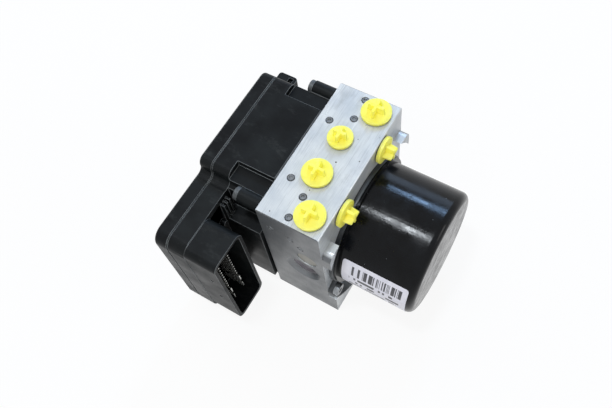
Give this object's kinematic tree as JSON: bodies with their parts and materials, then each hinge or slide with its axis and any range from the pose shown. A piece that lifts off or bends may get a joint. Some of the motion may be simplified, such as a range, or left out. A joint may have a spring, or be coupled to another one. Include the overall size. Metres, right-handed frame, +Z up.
{
  "type": "abs brake module",
  "caption": "Anti-lock brake module: machined valve block with plugged pipe ports, a pump motor on one side and a control unit with a side wiring socket on the other.",
  "frame": {"origin": "centre of the valve block's bottom face", "axes": "+X along the motor's axis toward the motor, +Y along the block toward the end without the wiring socket, +Z up through the pipe ports"},
  "size_m": [0.1309, 0.1253, 0.1069],
  "materials": {
    "plug_metal": "turned",
    "turned_aluminium": "turned",
    "hard_steel": "ground",
    "core_iron": "laminated",
    "copper": "copper",
    "yellow_plastic": "moulded satin",
    "carbon": "pressed",
    "dark_plastic": "moulded",
    "board_green": "solder mask",
    "coil_case": "zinc coated",
    "tinned_contact": "tinned",
    "black_rubber": "matt",
    "black_plastic": "satin moulded",
    "black_lid": "satin moulded",
    "zinc_screw": "zinc plated",
    "machined_aluminium": "milled, lightly brushed",
    "magnet": "sintered",
    "black_paint": "gloss",
    "plate_steel": "gloss",
    "valve_steel": "turned"
  },
  "bodies": {
    "module": {"accumulator_cover_back": "plug_metal", "accumulator_cover_front": "plug_metal", "accumulator_spring_back": "hard_steel", "accumulator_spring_front": "hard_steel", "brake_port_plug_back_inner": "yellow_plastic", "brake_port_plug_back_outer": "yellow_plastic", "brake_port_plug_front_inner": "yellow_plastic", "brake_port_plug_front_outer": "yellow_plastic", "brush_back": "carbon", "brush_front": "carbon", "brush_holder": "dark_plastic", "circuit_board": "board_green", "coil_inlet_1": "coil_case", "coil_inlet_2": "coil_case", "coil_inlet_3": "coil_case", "coil_inlet_4": "coil_case", "coil_outlet_1": "coil_case", "coil_outlet_2": "coil_case", "coil_outlet_3": "coil_case", "coil_outlet_4": "coil_case", "connector_pins": "tinned_contact", "cross_drilling_seals": "plug_metal", "damper_plugs": "plug_metal", "ecu_gasket": "black_rubber", "ecu_housing": "black_plastic", "ecu_lid": "black_lid", "ecu_screws": "zinc_screw", "front_bearing": "hard_steel", "hydraulic_block": "machined_aluminium", "magnet_back": "magnet", "magnet_front": "magnet", "master_port_plug_back": "yellow_plastic", "master_port_plug_front": "yellow_plastic", "motor_can": "black_paint", "motor_end_plate": "plate_steel", "motor_lead_stalk": "dark_plastic", "motor_screws": "zinc_screw", "plug_seal_rings": "black_rubber", "pump_plug_back": "plug_metal", "pump_plug_front": "plug_metal", "pump_spring_back": "hard_steel", "pump_spring_front": "hard_steel", "rear_bearing": "hard_steel", "valve_inlet_1": "valve_steel", "valve_inlet_2": "valve_steel", "valve_inlet_3": "valve_steel", "valve_inlet_4": "valve_steel", "valve_outlet_1": "valve_steel", "valve_outlet_2": "valve_steel", "valve_outlet_3": "valve_steel", "valve_outlet_4": "valve_steel"},
    "armature": {"motor_shaft": "hard_steel", "armature_core": "core_iron", "armature_windings": "copper", "commutator": "copper", "cam_ring": "hard_steel"},
    "pump_piston_front": {"pump_piston_front": "hard_steel"},
    "pump_piston_back": {"pump_piston_back": "hard_steel"},
    "accumulator_piston_front": {"accumulator_piston_front": "turned_aluminium"},
    "accumulator_piston_back": {"accumulator_piston_back": "turned_aluminium"}
  },
  "joints": [
    {"name": "armature_spin", "type": "hinge", "parent": "module", "child": "armature", "pos_m": [0, 0, 0.045], "axis": [1, 0, 0], "continuous": true},
    {"name": "pump_stroke_front", "type": "slide", "parent": "module", "child": "pump_piston_front", "axis": [0, -1, 0], "range_m": [0, 0.0016], "stiffness_N_per_m": 1500, "springref_m": -0.001},
    {"name": "pump_stroke_back", "type": "slide", "parent": "module", "child": "pump_piston_back", "axis": [0, 1, 0], "range_m": [0, 0.0016], "stiffness_N_per_m": 1500, "springref_m": -0.001},
    {"name": "accumulator_stroke_front", "type": "slide", "parent": "module", "child": "accumulator_piston_front", "axis": [0, 0, -1], "range_m": [0, 0.0055], "stiffness_N_per_m": 1500, "springref_m": -0.002, "deforming": ["accumulator_spring_front"]},
    {"name": "accumulator_stroke_back", "type": "slide", "parent": "module", "child": "accumulator_piston_back", "axis": [0, 0, -1], "range_m": [0, 0.0055], "stiffness_N_per_m": 1500, "springref_m": -0.002, "deforming": ["accumulator_spring_back"]}
  ]
}
